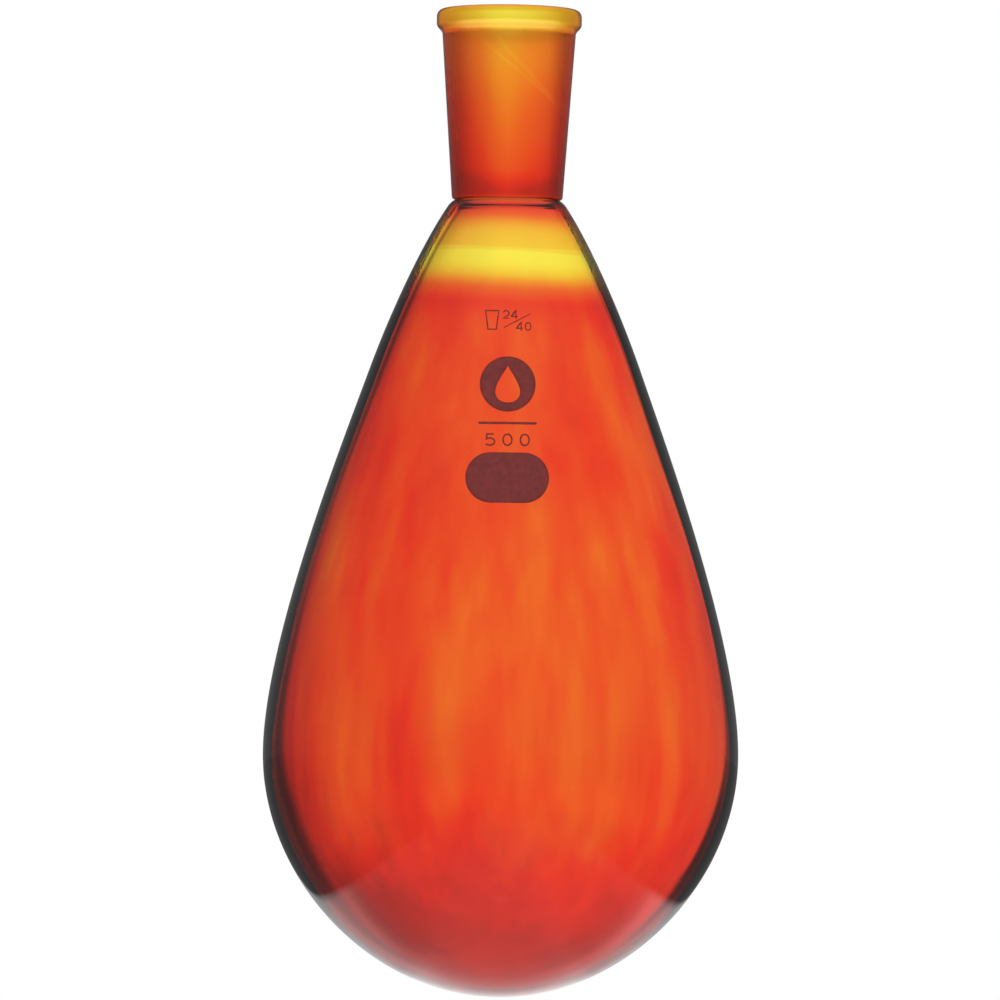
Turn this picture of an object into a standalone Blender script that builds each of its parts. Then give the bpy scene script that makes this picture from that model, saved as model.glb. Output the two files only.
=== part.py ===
"""Pear-shaped evaporating flask with a 24/40 ground socket. Metres, +Z up.

The origin is the centre of the mouth, on the flask's axis, and the bulb hangs below it. The turned socket and
the blown bulb are two pieces of glass that meet at the flame seal. The fired enamel marks are thin solids on
the front of the bulb, which faces -Y.
"""

import math

import bpy
from mathutils import Vector
from mathutils.geometry import delaunay_2d_cdt

MM = 0.001

# Ground joint of size 24/40: bore at the mouth, ground length, and the loss of diameter along it.
JOINT_BORE = 24.0 * MM
JOINT_LENGTH = 40.0 * MM
JOINT_TAPER = 0.1

# Mouth: a flat fire-polished land inside a rounded bead.
MOUTH_ROUND = 0.5 * MM
LAND_RADIUS = 13.9 * MM
BEAD_RADIUS = 15.3 * MM
BEAD_TOP = 1.5 * MM
BEAD_SIDE_END = 2.9 * MM
BEAD_FOOT = 5.4 * MM

# Socket tube below the bead, down to the flame seal.
TUBE_TOP_RADIUS = 14.05 * MM
TUBE_FOOT_RADIUS = 11.7 * MM
TUBE_FOOT = 39.5 * MM
TUBE_FOOT_ROUND = 0.35 * MM
SEAL_RADIUS = 10.9 * MM
SEAL_GAP = 0.3 * MM

# Bulb: radius and depth below the mouth at the shoulder, halfway down the cone, at the widest ring and at the
# lowest point, with the handles of the curves that join them.
SHOULDER_RADIUS, SHOULDER_DEPTH = 12.45 * MM, 41.5 * MM
CONE_RADIUS, CONE_DEPTH = 28.3 * MM, 75.3 * MM
WIDEST_RADIUS, WIDEST_DEPTH = 50.0 * MM, 157.0 * MM
HEIGHT = 208.0 * MM
SHOULDER_HANDLES = ((11.5 * MM, 40.3 * MM), (12.0 * MM, 40.9 * MM))
CONE_HANDLES = ((17.6 * MM, 49.2 * MM), (24.1 * MM, 63.6 * MM))
FLANK_HANDLES = ((33.9 * MM, 91.1 * MM), (WIDEST_RADIUS, 133.4 * MM))
BASE_HANDLES = ((WIDEST_RADIUS, 183.8 * MM), (26.4 * MM, HEIGHT))
WALL = 1.8 * MM

# Fired enamel: its thickness, and how far its underside stands off the glass.
ENAMEL = 0.15 * MM
ENAMEL_GAP = 0.2 * MM
ENAMEL_EDGE = 2.0 * MM

# Joint size mark: a taper outline, then 24 over 40 across a slash. Depths are below the mouth.
SIZE_DIGIT_WIDTH, SIZE_DIGIT_HEIGHT, SIZE_STROKE = 1.42 * MM, 1.85 * MM, 0.25 * MM
SIZE_UPPER_DEPTH, SIZE_LOWER_DEPTH = 65.5 * MM, 68.0 * MM
SIZE_COLUMNS = (-0.4 * MM, 1.3 * MM, 2.4 * MM, 4.2 * MM)
SLASH_ENDS = ((-0.85 * MM, 68.3 * MM), (4.7 * MM, 65.3 * MM))
SLASH_STROKE = 0.16 * MM
TAPER_MARK_X, TAPER_MARK_DEPTH, TAPER_MARK_HEIGHT = -3.3 * MM, 66.7 * MM, 4.2 * MM
TAPER_MARK_TOP, TAPER_MARK_FOOT = 3.0 * MM, 2.0 * MM

# Emblem: a round field with a drop left out of it, over a plain bar.
EMBLEM_RADIUS, EMBLEM_DEPTH = 5.8 * MM, 80.2 * MM
DROP_WIDTH, DROP_HEIGHT = 5.6 * MM, 7.8 * MM
RULE_LENGTH, RULE_HEIGHT, RULE_DEPTH = 12.2 * MM, 0.5 * MM, 88.4 * MM

# Capacity, 500 ml.
CAPACITY_DIGIT_WIDTH, CAPACITY_DIGIT_HEIGHT, CAPACITY_STROKE = 2.15 * MM, 2.66 * MM, 0.33 * MM
CAPACITY_PITCH, CAPACITY_DEPTH = 3.57 * MM, 91.9 * MM

# Marking spot.
SPOT_WIDTH, SPOT_HEIGHT, SPOT_DEPTH = 17.4 * MM, 10.5 * MM, 99.8 * MM

# Shapes of the figures, as shares of their width, height or stroke.
TWO_BOWL_START, TWO_BOWL_END = 165, -35
FOUR_STEM_SHIFT, FOUR_BAR_DROP = 0.24, 0.22
FOUR_PEAK, FOUR_CORNER = 1.8, 1.5
FIVE_FLAG, FIVE_TOP_CORNER, FIVE_WAIST_CORNER, FIVE_WAIST_RISE = 0.8, 0.75, 0.85, 0.05
FIVE_BOWL_HEIGHT, FIVE_BOWL_WIDTH, FIVE_BOWL_SHIFT = 0.32, 1.1, 0.1
FIVE_BOWL_START, FIVE_BOWL_END = 130, -145
DROP_FULLNESS, DROP_SHARPNESS = 0.65, 1.5

# Fineness of the round shapes.
SEGMENTS = 64
BEAD_STEPS = 5
SHOULDER_STEPS = 3
CONE_STEPS = 6
FLANK_STEPS = 11
BASE_STEPS = 12
BORE_STEPS = 4
MARK_STEPS = 24
BOWL_STEPS = 9

# Linear colours.
AMBER = (0.70, 0.07, 0.02, 1.0)
MAROON = (0.19, 0.026, 0.022, 1.0)


def clear_scene():
    for obj in list(bpy.data.objects):
        bpy.data.objects.remove(obj, do_unlink=True)


def material(name, colour, roughness, transmission):
    made = bpy.data.materials.new(name)
    made.use_nodes = True
    made.diffuse_color = colour
    shader = made.node_tree.nodes["Principled BSDF"]
    shader.inputs["Base Color"].default_value = colour
    shader.inputs["Roughness"].default_value = roughness
    shader.inputs["Metallic"].default_value = 0.0
    shader.inputs["Transmission Weight"].default_value = transmission
    return made


def add_object(name, vertices, edges, faces, finish, parent):
    mesh = bpy.data.meshes.new(name)
    mesh.from_pydata(vertices, edges, faces)
    mesh.materials.append(finish)
    obj = bpy.data.objects.new(name, mesh)
    obj.parent = parent
    bpy.context.scene.collection.objects.link(obj)
    return obj


# Turned glass. An outline is a list of (radius, height) points, run down the outside and up the inside.


def bezier(start, start_handle, end_handle, end, t):
    """Point and tangent of a cubic curve."""
    a, b, c, d = (Vector(point) for point in (start, start_handle, end_handle, end))
    s = 1.0 - t
    point = a * s**3 + b * 3 * s * s * t + c * 3 * s * t * t + d * t**3
    tangent = (b - a) * 3 * s * s + (c - b) * 6 * s * t + (d - c) * 3 * t * t
    return point, tangent.normalized()


def below(radius, depth):
    return (radius, -depth)


SHOULDER_CURVE = (
    below(SEAL_RADIUS, JOINT_LENGTH + SEAL_GAP),
    below(*SHOULDER_HANDLES[0]),
    below(*SHOULDER_HANDLES[1]),
    below(SHOULDER_RADIUS, SHOULDER_DEPTH),
)
CONE_CURVE = (
    below(SHOULDER_RADIUS, SHOULDER_DEPTH),
    below(*CONE_HANDLES[0]),
    below(*CONE_HANDLES[1]),
    below(CONE_RADIUS, CONE_DEPTH),
)
FLANK_CURVE = (
    below(CONE_RADIUS, CONE_DEPTH),
    below(*FLANK_HANDLES[0]),
    below(*FLANK_HANDLES[1]),
    below(WIDEST_RADIUS, WIDEST_DEPTH),
)
BASE_CURVE = (
    below(WIDEST_RADIUS, WIDEST_DEPTH),
    below(*BASE_HANDLES[0]),
    below(*BASE_HANDLES[1]),
    below(0.0, HEIGHT),
)


def bore_radius(depth):
    return (JOINT_BORE - JOINT_TAPER * depth) / 2


def socket_outline():
    outline = []
    for step in range(BEAD_STEPS + 1):
        angle = math.pi / 2 * step / BEAD_STEPS
        across = (BEAD_RADIUS - LAND_RADIUS) * math.sin(angle)
        down = BEAD_TOP * (1.0 - math.cos(angle))
        outline.append(below(LAND_RADIUS + across, down))
    middle = (BEAD_SIDE_END + BEAD_FOOT) / 2
    underside = (
        below(BEAD_RADIUS, BEAD_SIDE_END),
        below(BEAD_RADIUS, middle),
        below(TUBE_TOP_RADIUS, middle),
        below(TUBE_TOP_RADIUS, BEAD_FOOT),
    )
    outline += [tuple(bezier(*underside, step / BEAD_STEPS)[0]) for step in range(BEAD_STEPS + 1)]
    outline.append(below(TUBE_FOOT_RADIUS, TUBE_FOOT))
    outline.append(below((TUBE_FOOT_RADIUS + SEAL_RADIUS) / 2, TUBE_FOOT + TUBE_FOOT_ROUND))
    outline.append(below(SEAL_RADIUS, JOINT_LENGTH))
    for step in range(BORE_STEPS):
        depth = JOINT_LENGTH - (JOINT_LENGTH - MOUTH_ROUND) * step / BORE_STEPS
        outline.append(below(bore_radius(depth), depth))
    outline.append(below(bore_radius(MOUTH_ROUND), MOUTH_ROUND))
    outline.append(below(bore_radius(0.0) + MOUTH_ROUND, 0.0))
    return outline


def bulb_outline():
    outer = [bezier(*SHOULDER_CURVE, step / SHOULDER_STEPS) for step in range(SHOULDER_STEPS)]
    body = []
    for curve, steps in ((CONE_CURVE, CONE_STEPS), (FLANK_CURVE, FLANK_STEPS), (BASE_CURVE, BASE_STEPS)):
        body += [bezier(*curve, step / steps) for step in range(steps)]
    inner = [point + WALL * Vector((tangent.y, -tangent.x)) for point, tangent in body]
    throat = below(bore_radius(JOINT_LENGTH), JOINT_LENGTH + SEAL_GAP)
    pole, inner_pole = below(0.0, HEIGHT), below(0.0, HEIGHT - WALL)
    outside = [tuple(point) for point, _ in outer + body] + [pole]
    inside = [inner_pole] + [tuple(point) for point in reversed(inner)] + [throat]
    return inside + outside


def turned(name, outline, closed, finish, parent):
    """A solid of revolution. A closed outline joins its ends, and an open one starts and ends on the axis."""
    vertices = [(radius, 0.0, height) for radius, height in outline]
    edges = [(i, i + 1) for i in range(len(outline) - 1)]
    if closed:
        edges.append((len(outline) - 1, 0))
    obj = add_object(name, vertices, edges, [], finish, parent)
    screw = obj.modifiers.new("turn", "SCREW")
    screw.axis = "Z"
    screw.steps = SEGMENTS
    screw.render_steps = SEGMENTS
    screw.use_merge_vertices = True
    screw.merge_threshold = 0.00001
    screw.use_smooth_shade = True
    return obj


# Enamel. A mark is drawn flat as closed loops of (across, up) points, filled, bent on to the bulb and given
# its thickness.


def flank_at(height):
    """Radius of the bulb at a height above its widest ring, and the outward normal there as (across, up)."""
    curve = CONE_CURVE if height > -CONE_DEPTH else FLANK_CURVE
    low, high = 0.0, 1.0
    for _ in range(40):
        middle = (low + high) / 2
        point, tangent = bezier(*curve, middle)
        if point.y > height:
            low = middle
        else:
            high = middle
    return point.x, Vector((-tangent.y, tangent.x))


def on_bulb(across, height, lift):
    radius, normal = flank_at(height)
    angle = across / radius
    out = radius + lift * normal.x
    return (out * math.sin(angle), -out * math.cos(angle), height + lift * normal.y)


def ellipse(centre, radius_x, radius_y, count=MARK_STEPS):
    turns = [2 * math.pi * i / count for i in range(count)]
    return [(centre[0] + radius_x * math.cos(a), centre[1] + radius_y * math.sin(a)) for a in turns]


def arc(centre, radius_x, radius_y, start, end, steps):
    """Points from start to end degrees, counter-clockwise from the right."""
    turns = [math.radians(start + (end - start) * i / steps) for i in range(steps + 1)]
    return [(centre[0] + radius_x * math.cos(a), centre[1] + radius_y * math.sin(a)) for a in turns]


def ribbon(path, width):
    """Outline of a stroke of even width along an open path, with mitred corners."""
    points = [Vector(point) for point in path]
    left, right = [], []
    for i, point in enumerate(points):
        before = (point - points[i - 1]).normalized() if i else None
        after = (points[i + 1] - point).normalized() if i + 1 < len(points) else None
        along = ((before or after) + (after or before)).normalized()
        side = Vector((-along.y, along.x))
        reach = width / 2 / max(0.5, along.dot(after or before))
        left.append(tuple(point + side * reach))
        right.append(tuple(point - side * reach))
    return left + right[::-1]


def digit_zero(width, height, stroke):
    outer = ellipse((0.0, 0.0), width / 2, height / 2)
    inner = ellipse((0.0, 0.0), width / 2 - stroke, height / 2 - stroke)
    return [outer, inner]


def digit_two(width, height, stroke):
    side, top = (width - stroke) / 2, (height - stroke) / 2
    bowl = arc((0.0, top - side), side, side, TWO_BOWL_START, TWO_BOWL_END, BOWL_STEPS)
    return [ribbon(bowl + [(-side, -top), (side, -top)], stroke)]


def digit_four(width, height, stroke):
    stem, bar = width * FOUR_STEM_SHIFT, -height * FOUR_BAR_DROP
    half, top = stroke / 2, height / 2
    outer = [
        (stem - half, -top),
        (stem + half, -top),
        (stem + half, bar - half),
        (width / 2, bar - half),
        (width / 2, bar + half),
        (stem + half, bar + half),
        (stem + half, top),
        (stem - half, top),
        (-width / 2, bar + half),
        (-width / 2, bar - half),
        (stem - half, bar - half),
    ]
    inner = [
        (stem - half, bar + half),
        (stem - half, top - stroke * FOUR_PEAK),
        (-width / 2 + stroke * FOUR_CORNER, bar + half),
    ]
    return [outer, inner]


def digit_five(width, height, stroke):
    side, top = (width - stroke) / 2, (height - stroke) / 2
    bowl_height = (height - stroke) * FIVE_BOWL_HEIGHT
    middle = (-side * FIVE_BOWL_SHIFT, -top + bowl_height)
    bowl = arc(middle, side * FIVE_BOWL_WIDTH, bowl_height, FIVE_BOWL_START, FIVE_BOWL_END, BOWL_STEPS)
    flag = [(side * FIVE_FLAG, top), (-side * FIVE_TOP_CORNER, top)]
    waist = (-side * FIVE_WAIST_CORNER, height * FIVE_WAIST_RISE)
    return [ribbon(flag + [waist] + bowl[1:], stroke)]


def drop(width, height):
    """A drop with its point at the top."""
    points = []
    for i in range(MARK_STEPS):
        turn = 2 * math.pi * i / MARK_STEPS
        across = DROP_FULLNESS * width * math.sin(turn) * math.sin(turn / 2) ** DROP_SHARPNESS
        points.append((across, height / 2 * math.cos(turn)))
    return points


def stadium(width, height, steps):
    radius = height / 2
    reach = width / 2 - radius
    right = arc((reach, 0.0), radius, radius, -90, 90, steps)
    left = arc((-reach, 0.0), radius, radius, 90, 270, steps)
    return right + left


def tapered_frame(top, foot, height, stroke):
    """A hollow outline that narrows downwards, as the joint does."""
    loops = []
    for inset in (0.0, stroke):
        upper, lower, half = top / 2 - inset, foot / 2 - inset, height / 2 - inset
        loops.append([(-upper, half), (-lower, -half), (lower, -half), (upper, half)])
    return loops


def inside(point, loops):
    """Whether a point is inside an odd number of loops."""
    crossings = 0
    for loop in loops:
        for (ax, ay), (bx, by) in zip(loop, loop[1:] + loop[:1]):
            if (ay > point[1]) != (by > point[1]):
                crossings += point[0] < ax + (point[1] - ay) / (by - ay) * (bx - ax)
    return crossings % 2 == 1


def with_short_edges(loop):
    """The loop, with long edges divided so that they bend with the glass."""
    points = []
    for start, end in zip(loop, loop[1:] + loop[:1]):
        start, end = Vector(start), Vector(end)
        parts = max(1, math.ceil((end - start).length / ENAMEL_EDGE))
        points += [tuple(start.lerp(end, i / parts)) for i in range(parts)]
    return points


def fill(loops):
    """Triangles inside the loops, with points on a grid in the wide ones."""
    points, edges = [], []
    for loop in loops:
        first = len(points)
        points += [Vector(point) for point in loop]
        edges += [(first + i, first + (i + 1) % len(loop)) for i in range(len(loop))]
    reach = max(max(abs(x), abs(y)) for x, y in loops[0])
    rows = int(reach / ENAMEL_EDGE)
    for i in range(-rows, rows + 1):
        for j in range(-rows, rows + 1):
            spot = Vector((i * ENAMEL_EDGE, j * ENAMEL_EDGE))
            clear = min((spot - Vector(point)).length for loop in loops for point in loop)
            if inside(spot, loops) and clear > ENAMEL_EDGE / 2:
                points.append(spot)
    corners, _, triangles, *_ = delaunay_2d_cdt(points, edges, [], 0, 1e-7)
    kept = []
    for triangle in triangles:
        middle = sum((corners[i] for i in triangle), Vector((0.0, 0.0))) / 3
        if inside(middle, loops):
            kept.append(triangle)
    return corners, kept


def mark(name, loops, across, depth, finish, parent):
    corners, triangles = fill([with_short_edges(loop) for loop in loops])
    used = sorted({i for triangle in triangles for i in triangle})
    order = {old: new for new, old in enumerate(used)}
    vertices = [on_bulb(across + corners[i].x, corners[i].y - depth, ENAMEL_GAP) for i in used]
    faces = [tuple(order[i] for i in triangle) for triangle in triangles]
    obj = add_object(name, vertices, [], faces, finish, parent)
    thickness = obj.modifiers.new("enamel", "SOLIDIFY")
    thickness.thickness = ENAMEL
    thickness.offset = 1.0
    return obj


def add_joint_size(finish, parent):
    size = (SIZE_DIGIT_WIDTH, SIZE_DIGIT_HEIGHT, SIZE_STROKE)
    two, upper_four, lower_four, zero = SIZE_COLUMNS
    mark("joint_size_2", digit_two(*size), two, SIZE_UPPER_DEPTH, finish, parent)
    mark("joint_size_4_upper", digit_four(*size), upper_four, SIZE_UPPER_DEPTH, finish, parent)
    mark("joint_size_4_lower", digit_four(*size), lower_four, SIZE_LOWER_DEPTH, finish, parent)
    mark("joint_size_0", digit_zero(*size), zero, SIZE_LOWER_DEPTH, finish, parent)
    (left, low), (right, high) = SLASH_ENDS
    middle_x, middle_depth = (left + right) / 2, (low + high) / 2
    path = [(left - middle_x, middle_depth - low), (right - middle_x, middle_depth - high)]
    mark("joint_size_slash", [ribbon(path, SLASH_STROKE)], middle_x, middle_depth, finish, parent)
    frame = tapered_frame(TAPER_MARK_TOP, TAPER_MARK_FOOT, TAPER_MARK_HEIGHT, SIZE_STROKE)
    mark("taper_symbol", frame, TAPER_MARK_X, TAPER_MARK_DEPTH, finish, parent)


def add_emblem(finish, parent):
    disc = ellipse((0.0, 0.0), EMBLEM_RADIUS, EMBLEM_RADIUS, 2 * MARK_STEPS)
    mark("emblem", [disc, drop(DROP_WIDTH, DROP_HEIGHT)], 0.0, EMBLEM_DEPTH, finish, parent)
    mark("name_rule", [stadium(RULE_LENGTH, RULE_HEIGHT, 4)], 0.0, RULE_DEPTH, finish, parent)


def add_capacity(finish, parent):
    size = (CAPACITY_DIGIT_WIDTH, CAPACITY_DIGIT_HEIGHT, CAPACITY_STROKE)
    mark("capacity_5", digit_five(*size), -CAPACITY_PITCH, CAPACITY_DEPTH, finish, parent)
    mark("capacity_0_left", digit_zero(*size), 0.0, CAPACITY_DEPTH, finish, parent)
    mark("capacity_0_right", digit_zero(*size), CAPACITY_PITCH, CAPACITY_DEPTH, finish, parent)


def add_marking_spot(finish, parent):
    spot = stadium(SPOT_WIDTH, SPOT_HEIGHT, MARK_STEPS // 2)
    mark("marking_spot", [spot], 0.0, SPOT_DEPTH, finish, parent)


def build_flask():
    clear_scene()
    flask = bpy.data.objects.new("flask", None)
    bpy.context.scene.collection.objects.link(flask)
    clear_amber = material("clear_amber_glass", AMBER, 0.03, 1.0)
    ground_amber = material("ground_amber_glass", AMBER, 0.35, 1.0)
    enamel = material("fired_enamel", MAROON, 0.55, 0.0)
    turned("ground_socket", socket_outline(), True, ground_amber, flask)
    turned("bulb", bulb_outline(), False, clear_amber, flask)
    add_joint_size(enamel, flask)
    add_emblem(enamel, flask)
    add_capacity(enamel, flask)
    add_marking_spot(enamel, flask)


build_flask()
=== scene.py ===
"""Looks of the amber evaporating flask: fine glass, stain, printed enamel and a backlit studio.

Metres, in the CAD frame: the origin is the centre of the mouth, +Z is up the axis, and the print faces -Y.
"""

import math

import bpy
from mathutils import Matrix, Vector
from mathutils.geometry import delaunay_2d_cdt


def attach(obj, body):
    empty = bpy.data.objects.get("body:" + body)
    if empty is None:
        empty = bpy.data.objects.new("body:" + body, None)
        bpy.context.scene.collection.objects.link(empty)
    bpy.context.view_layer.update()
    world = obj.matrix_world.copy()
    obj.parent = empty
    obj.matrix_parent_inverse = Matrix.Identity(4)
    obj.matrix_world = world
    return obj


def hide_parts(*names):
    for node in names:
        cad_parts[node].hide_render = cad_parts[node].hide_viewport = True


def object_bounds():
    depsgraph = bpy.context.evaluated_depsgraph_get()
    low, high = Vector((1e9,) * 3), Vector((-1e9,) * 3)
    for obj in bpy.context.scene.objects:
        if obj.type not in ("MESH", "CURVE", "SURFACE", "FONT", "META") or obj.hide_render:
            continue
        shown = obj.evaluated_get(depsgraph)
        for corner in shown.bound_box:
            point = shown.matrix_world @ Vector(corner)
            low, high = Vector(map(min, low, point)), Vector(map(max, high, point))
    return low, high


MM = 0.001

# Ground joint 24/40.
JOINT_BORE = 24.0 * MM
JOINT_TAPER = 0.1

# Mouth and bead.
MOUTH_ROUND = 0.5 * MM
LAND_RADIUS = 13.9 * MM
BEAD_RADIUS = 15.3 * MM
BEAD_TOP = 1.5 * MM
BEAD_SIDE_END = 2.9 * MM
BEAD_FOOT = 5.4 * MM

# Tube below the bead, and the fused seal, whose groove is where the two glass pieces meet.
TUBE_TOP_RADIUS = 14.05 * MM
TUBE_FOOT_RADIUS = 11.7 * MM
TUBE_FOOT = 39.5 * MM
SEAL_RADIUS = 10.85 * MM
SEAL_DEPTH = 40.25 * MM
FOOT_HANDLES = ((-0.05 * MM, 0.45 * MM), (0.5 * MM, -0.12 * MM))

# Bulb.
SHOULDER_RADIUS, SHOULDER_DEPTH = 12.45 * MM, 41.5 * MM
CONE_RADIUS, CONE_DEPTH = 28.3 * MM, 75.3 * MM
WIDEST_RADIUS, WIDEST_DEPTH = 50.0 * MM, 157.0 * MM
HEIGHT = 208.0 * MM
SHOULDER_HANDLES = ((11.4 * MM, 40.3 * MM), (12.0 * MM, 40.9 * MM))
CONE_HANDLES = ((17.6 * MM, 49.2 * MM), (24.1 * MM, 63.6 * MM))
FLANK_HANDLES = ((33.9 * MM, 91.1 * MM), (WIDEST_RADIUS, 133.4 * MM))
BASE_HANDLES = ((WIDEST_RADIUS, 183.8 * MM), (26.4 * MM, HEIGHT))
THROAT_HANDLES = (0.9 * MM, 0.8 * MM)
WALL = 1.8 * MM

# Unevenness of the blown wall: its size, and where it fades in below the shoulder and out at the axis.
WALL_WAVE = 0.06 * MM
WAVE_FADE_DEPTH = 8.0 * MM
WAVE_FADE_RADIUS = 20.0 * MM
# Each wave is (size, turns about the axis, radians per metre of height, start in radians).
SLOW_WAVES = ((1.0, 2, 21.0, 0.6), (0.6, 3, -34.0, 2.1))
QUICK_WAVES = ((0.35, 7, 80.0, 0.0), (0.25, 11, -130.0, 1.0))

# A point nearer to the axis than this is on it.
ON_AXIS = 1e-7
SHARP_EDGE = math.radians(50)
# How many halvings find a height on the bulb's curve.
HALVINGS = 40

# Enamel: thickness and how far its underside stands off the glass.
ENAMEL = 0.04 * MM
ENAMEL_GAP = 0.02 * MM
ENAMEL_EDGE = 0.8 * MM
# Points of a mark nearer than this are one, and a stroke's corner reaches out no further than this allows.
SAME_POINT = 1e-7
MITRE_LIMIT = 0.5

# Marks, as in the CAD model. Depths are below the mouth.
SIZE_DIGIT_WIDTH, SIZE_DIGIT_HEIGHT, SIZE_STROKE = 1.42 * MM, 1.85 * MM, 0.25 * MM
SIZE_UPPER_DEPTH, SIZE_LOWER_DEPTH = 65.5 * MM, 68.0 * MM
SIZE_COLUMNS = (-0.4 * MM, 1.3 * MM, 2.4 * MM, 4.2 * MM)
SLASH_ENDS = ((-0.85 * MM, 68.3 * MM), (4.7 * MM, 65.3 * MM))
SLASH_STROKE = 0.16 * MM
TAPER_MARK_X, TAPER_MARK_DEPTH, TAPER_MARK_HEIGHT = -3.3 * MM, 66.7 * MM, 4.2 * MM
TAPER_MARK_TOP, TAPER_MARK_FOOT = 3.0 * MM, 2.0 * MM
EMBLEM_RADIUS, EMBLEM_DEPTH = 5.8 * MM, 80.2 * MM
DROP_WIDTH, DROP_HEIGHT = 5.6 * MM, 7.8 * MM
RULE_LENGTH, RULE_HEIGHT, RULE_DEPTH = 12.2 * MM, 0.5 * MM, 88.4 * MM
CAPACITY_DIGIT_WIDTH, CAPACITY_DIGIT_HEIGHT, CAPACITY_STROKE = 2.15 * MM, 2.66 * MM, 0.33 * MM
CAPACITY_PITCH, CAPACITY_DEPTH = 3.57 * MM, 91.9 * MM
SPOT_WIDTH, SPOT_HEIGHT, SPOT_DEPTH = 17.4 * MM, 10.5 * MM, 99.8 * MM

# Figures: arcs in degrees, the rest as shares of the width, height or stroke that each is multiplied by.
TWO_BOWL = (165, -35, 28)
FOUR_STEM, FOUR_BAR = 0.24, -0.22
FOUR_NOTCH_TOP, FOUR_NOTCH_LEFT = 1.8, 1.5
FIVE_BOWL = (130, -145, 36)
FIVE_BOWL_HEIGHT, FIVE_BOWL_SHIFT, FIVE_BOWL_SIDE = 0.32, 0.1, 1.1
FIVE_FLAG, FIVE_BACK_TOP, FIVE_BACK_FOOT, FIVE_BACK_HEIGHT = 0.8, 0.75, 0.85, 0.05
DROP_FULLNESS, DROP_SHARPNESS = 0.65, 1.5
RULE_END_STEPS = 12

# Fineness.
SEGMENTS = 288
BEAD_STEPS = 16
TUBE_STEPS = 40
FOOT_STEPS = 8
SHOULDER_STEPS = 12
CONE_STEPS = 48
FLANK_STEPS = 80
BASE_STEPS = 72
MARK_STEPS = 72

# Studio.
CAMERA_DISTANCE = 1.74
CAMERA_TURN = -1.1
CAMERA_HEIGHT = -0.152
CAMERA_AIM = (-0.00075, 0.0, -0.1034)
CAMERA_ROLL = 0.69
LENS = 297.6
SENSOR = 36.0
NEAREST, FARTHEST = 0.01, 100.0
BOUNCES, GLOSSY_BOUNCES = 24, 12
WHITE = (1.0, 1.0, 1.0, 1.0)
# Windows, seen through the glass: how many degrees apart they are, and how far each is turned and half its
# width in degrees, for a look that slopes down and for one that slopes up.
WINDOW_SPACING = 90.0
WINDOW_LOW, WINDOW_HIGH = -0.09, 0.09
WINDOW_TURN_LOW, WINDOW_TURN_HIGH = 1.8, 4.5
WINDOW_HALF_LOW, WINDOW_HALF_HIGH = 6.5, 16.5
# Brightness across a window, against the distance from its middle in half-widths, left to right.
WINDOW_PROFILE = (
    (-1.6, 0.0),
    (-1.3, 0.05),
    (-1.1, 0.12),
    (-1.0, 0.30),
    (-0.9, 0.55),
    (-0.5, 0.82),
    (-0.2, 1.0),
    (0.9, 1.0),
    (1.0, 0.6),
    (1.1, 0.2),
    (1.3, 0.05),
    (1.6, 0.0),
)
WINDOW_REACH = 2.0
BACKLIGHT = 1.09
BETWEEN_WINDOWS = 0.02
# The table below the windows, and how bright it is against them.
TABLE_SEEN_FROM, TABLE_SEEN_TO = -0.16, -0.30
TABLE_SHADE = 0.78
# The lit band high on the walls, by how steeply one looks up at it, and the lamp above it.
HIGH_BAND = ((0.15, 0.0), (0.24, 0.5), (0.34, 1.0), (0.46, 1.0), (0.54, 0.0), (0.78, 0.0), (0.86, 0.4))
HIGH_BAND_GAIN = 1.2
# What the glass reflects of the room, and the light on what is matt.
ROOM_REFLECTION = 0.15
OVERHEAD_REFLECTION = 0.5
OVERHEAD_FROM, OVERHEAD_TO = 0.5, 0.9
DIFFUSE_LIGHT = 1.12
FLOOR_REACH = 40.0
FLOOR_SIDES = 96
FLOOR_GAP = 0.05 * MM
# The strip that shows in reflections: half-width under the flask and how fast it widens to the back.
CARD_REACH = 3.0
CARD_HALF, CARD_SPREAD = 0.059, 0.08
CARD_EDGE = 0.004
CARD_BESIDE = 0.12
# Brightness of the strip from front to back: the flask's shadow falls to the front of it.
CARD_FRONT, CARD_BACK, CARD_GAIN = -0.2, 0.2, 1.4
CARD_LEVELS = (
    (-0.17, 0.0),
    (-0.05, 0.42),
    (-0.022, 0.5),
    (-0.016, 0.65),
    (-0.011, 0.95),
    (-0.006, 1.25),
    (0.030, 1.2),
    (0.060, 0.95),
    (0.150, 0.7),
)
# To either side of the middle it is this much dimmer.
CARD_DIM_FROM, CARD_DIM_TO, CARD_DIM = 0.016, 0.024, 0.72

# How dense the stain is at each depth below the mouth, in mm: 0 is pale yellow and 1 is dark red.
STAIN_BY_DEPTH = (
    (0.0, 0.03),
    (2.0, 0.04),
    (4.0, 0.14),
    (4.7, 0.32),
    (6.5, 0.37),
    (12.0, 0.40),
    (19.0, 0.50),
    (27.0, 0.58),
    (34.0, 0.68),
    (38.5, 0.96),
    (40.2, 0.90),
    (41.5, 0.74),
    (43.0, 0.60),
    (44.7, 0.36),
    (46.6, 0.24),
    (50.2, 0.19),
    (53.0, 0.21),
    (56.0, 0.27),
    (58.5, 0.58),
    (61.5, 0.80),
    (66.0, 0.72),
    (72.0, 0.66),
    (112.0, 0.66),
    (128.0, 0.685),
    (150.0, 0.685),
    (168.0, 0.73),
    (180.0, 0.815),
    (190.0, 0.89),
    (200.0, 0.94),
    (208.0, 0.94),
)
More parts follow.
